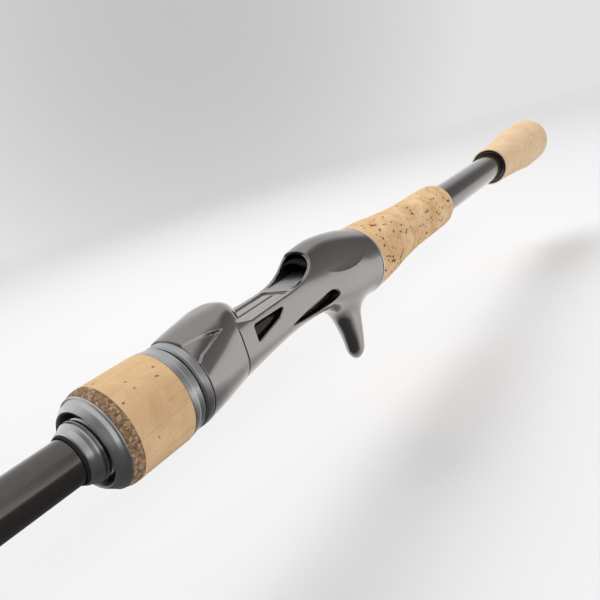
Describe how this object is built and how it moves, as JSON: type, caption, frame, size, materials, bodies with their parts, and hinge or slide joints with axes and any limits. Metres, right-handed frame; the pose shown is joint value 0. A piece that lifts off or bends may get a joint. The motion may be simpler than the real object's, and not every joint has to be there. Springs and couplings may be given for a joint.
{
  "type": "casting fishing rod",
  "caption": "One-piece bait-casting rod with trigger reel seat, sliding hood locked by a cork fore grip nut, split cork grip and line guides.",
  "frame": {"origin": "centre of the reel seat's deck, where the middle of a reel foot rests", "axes": "+X along the rod to the tip, +Z out of the deck towards the reel and the guides, trigger towards -Z"},
  "size_m": [1.981, 0.0282, 0.0546],
  "materials": {
    "blank_gloss": "gloss clear coat over dark carbon fibre",
    "cork": "sanded cork with small dark pits",
    "burl": "sanded speckled composite cork",
    "butt_check_metal": "dark polished",
    "bright_trim": "polished",
    "seat_chrome": "dark polished gunmetal plating",
    "black_liner": "moulded",
    "arbor_foam": "rigid foam",
    "satin_trim": "satin turned",
    "black_rubber": "matte",
    "guide_metal": "dark polished",
    "guide_ceramic": "polished ceramic",
    "wrap_varnish": "thread under gloss varnish"
  },
  "bodies": {
    "rod": {"blank": "blank_gloss", "butt_grip": "cork", "butt_check": "butt_check_metal", "rear_grip": "cork", "rear_trim_ring": "bright_trim", "seat_body": "seat_chrome", "rear_hood_liner": "black_liner", "rear_arbor": "arbor_foam", "front_arbor": "arbor_foam", "front_check": "satin_trim", "front_gasket": "black_rubber", "guide_1_frame": "guide_metal", "guide_1_ring": "guide_ceramic", "guide_1_wraps": "wrap_varnish", "guide_2_frame": "guide_metal", "guide_2_ring": "guide_ceramic", "guide_2_wraps": "wrap_varnish", "guide_3_frame": "guide_metal", "guide_3_ring": "guide_ceramic", "guide_3_wraps": "wrap_varnish", "guide_4_frame": "guide_metal", "guide_4_ring": "guide_ceramic", "guide_4_wraps": "wrap_varnish", "guide_5_frame": "guide_metal", "guide_5_ring": "guide_ceramic", "guide_5_wraps": "wrap_varnish", "guide_6_frame": "guide_metal", "guide_6_ring": "guide_ceramic", "guide_6_wraps": "wrap_varnish", "guide_7_frame": "guide_metal", "guide_7_ring": "guide_ceramic", "guide_7_wraps": "wrap_varnish", "guide_8_frame": "guide_metal", "guide_8_ring": "guide_ceramic", "guide_8_wraps": "wrap_varnish", "tip_top_frame": "guide_metal", "tip_top_ring": "guide_ceramic", "tip_top_wrap": "wrap_varnish"},
    "hood": {"front_hood": "seat_chrome", "front_hood_liner": "black_liner", "hood_collar": "seat_chrome", "retaining_ring": "black_liner"},
    "nut": {"nut_insert": "black_liner", "nut_rear_ring": "satin_trim", "fore_cork": "cork", "burl_ring": "burl", "nut_flange": "satin_trim"}
  },
  "joints": [
    {"name": "hood_slide", "type": "slide", "parent": "rod", "child": "hood", "axis": [1, 0, 0], "range_m": [0, 0.012]},
    {"name": "nut_spin", "type": "hinge", "parent": "hood", "child": "nut", "pos_m": [0.04, 0, -0.0073], "axis": [1, 0, 0], "range_deg": [0, 2880.1]}
  ],
  "couplings": [
    {"joint": "nut_spin", "follows": "hood_slide", "rad_per_m": 4188.8}
  ]
}
